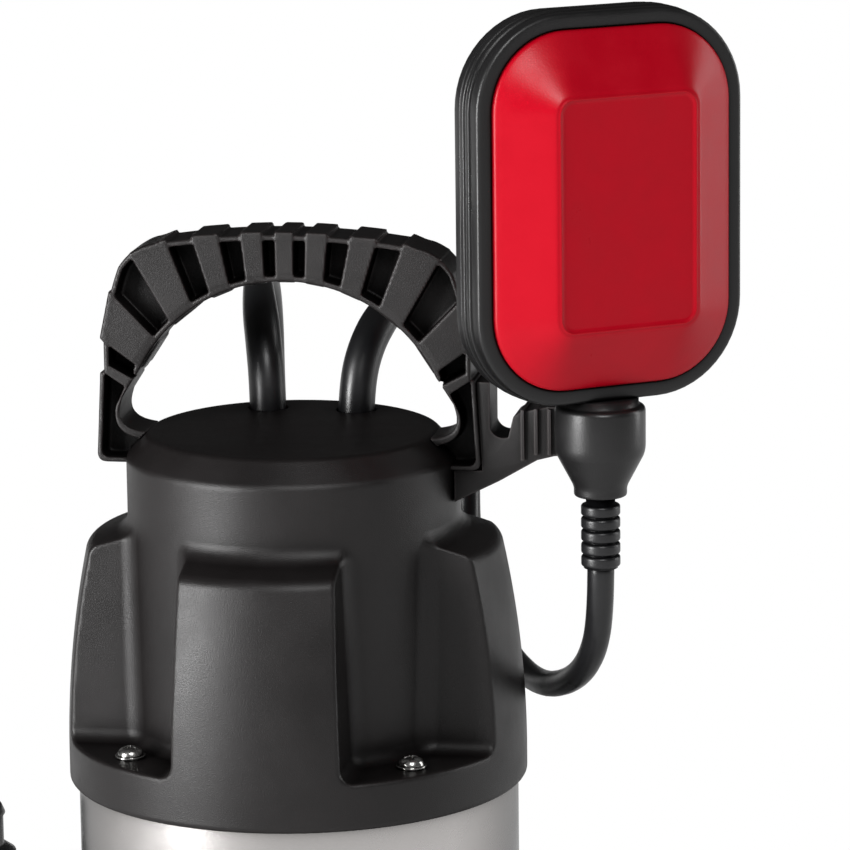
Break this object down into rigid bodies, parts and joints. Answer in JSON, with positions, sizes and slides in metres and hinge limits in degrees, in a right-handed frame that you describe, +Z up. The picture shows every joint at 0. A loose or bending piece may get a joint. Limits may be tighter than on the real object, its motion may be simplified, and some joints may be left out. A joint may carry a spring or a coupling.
{
  "type": "submersible sump pump",
  "caption": "Submersible sump pump with a winged black motor cover, arched carry handle, steel jacket, side hose outlet and a red float switch on its cable.",
  "frame": {"origin": "centre of the strainer base's flat underside, on the rotor axis", "axes": "+Z up along the rotor axis, the handle's arch lies across X, the outlet leaves towards -X and the float hangs at +X"},
  "size_m": [0.3059, 0.386, 0.4395],
  "materials": {
    "black_plastic": "fine textured moulding",
    "stainless": "brushed",
    "bright_steel": "polished screws",
    "seal_rubber": "smooth",
    "cable_rubber": "satin sheath",
    "float_red": "satin moulding",
    "float_rim_rubber": "satin",
    "outlet_plastic": "smooth moulding",
    "aluminium_casting": "cast",
    "lamination_steel": "stacked sheets",
    "copper_winding": "varnished wire",
    "seal_ceramic": "polished",
    "seal_carbon": "carbon and spring",
    "impeller_plastic": "glass filled moulding",
    "capacitor_case": "smooth",
    "terminal_plastic": "smooth",
    "plug_rubber": "satin",
    "switch_plastic": "smooth",
    "ball_steel": "polished",
    "handle_plastic": "fine textured moulding"
  },
  "bodies": {
    "housing": {"strainer_base": "black_plastic", "base_screws": "bright_steel", "suction_plate": "black_plastic", "pump_casing": "black_plastic", "outlet_gasket": "seal_rubber", "outlet_elbow": "outlet_plastic", "union_nut": "outlet_plastic", "hose_adapter": "outlet_plastic", "lower_jacket_seal": "seal_rubber", "motor_jacket": "stainless", "upper_jacket_seal": "seal_rubber", "motor_cover": "black_plastic", "cover_washers": "bright_steel", "cover_bolts": "bright_steel", "carry_handle": "handle_plastic", "float_holder": "handle_plastic", "power_cable_sleeve": "cable_rubber", "float_cable_sleeve": "cable_rubber", "power_cord": "cable_rubber", "plug_cord": "cable_rubber", "power_cord_coil": "cable_rubber", "mains_plug": "plug_rubber", "lower_bearing_housing": "aluminium_casting", "motor_can": "stainless", "upper_bearing_bracket": "aluminium_casting", "stator_core": "lamination_steel", "stator_windings": "copper_winding", "lower_bearing": "bright_steel", "upper_bearing": "bright_steel", "seal_seat": "seal_ceramic", "run_capacitor": "capacitor_case", "terminal_block": "terminal_plastic"},
    "rotor": {"rotor_shaft": "bright_steel", "rotor_core": "lamination_steel", "seal_head": "seal_carbon", "impeller": "impeller_plastic", "impeller_nut": "bright_steel"},
    "float_lead": {"float_cord": "cable_rubber"},
    "float_switch": {"float_rim": "float_rim_rubber", "float_shell_front": "float_red", "float_shell_back": "float_red", "float_gland": "float_rim_rubber", "float_bend_boot": "cable_rubber", "ball_track": "switch_plastic", "micro_switch": "switch_plastic"},
    "ball": {"switch_ball": "ball_steel"}
  },
  "joints": [
    {"name": "rotor_spin", "type": "hinge", "parent": "housing", "child": "rotor", "pos_m": [0, 0, 0.1], "axis": [0, 0, 1], "continuous": true},
    {"name": "float_rise", "type": "slide", "parent": "housing", "child": "float_lead", "axis": [0, 0, 1], "range_m": [-0.126, 0], "deforming": ["float_cord"]},
    {"name": "float_tilt", "type": "hinge", "parent": "float_lead", "child": "float_switch", "pos_m": [0.106, -0.031, 0.261], "axis": [-0.5736, 0.8192, 0], "range_deg": [0, 110]},
    {"name": "ball_roll", "type": "slide", "parent": "float_switch", "child": "ball", "axis": [0, 0, 1], "range_m": [0, 0.012]}
  ]
}
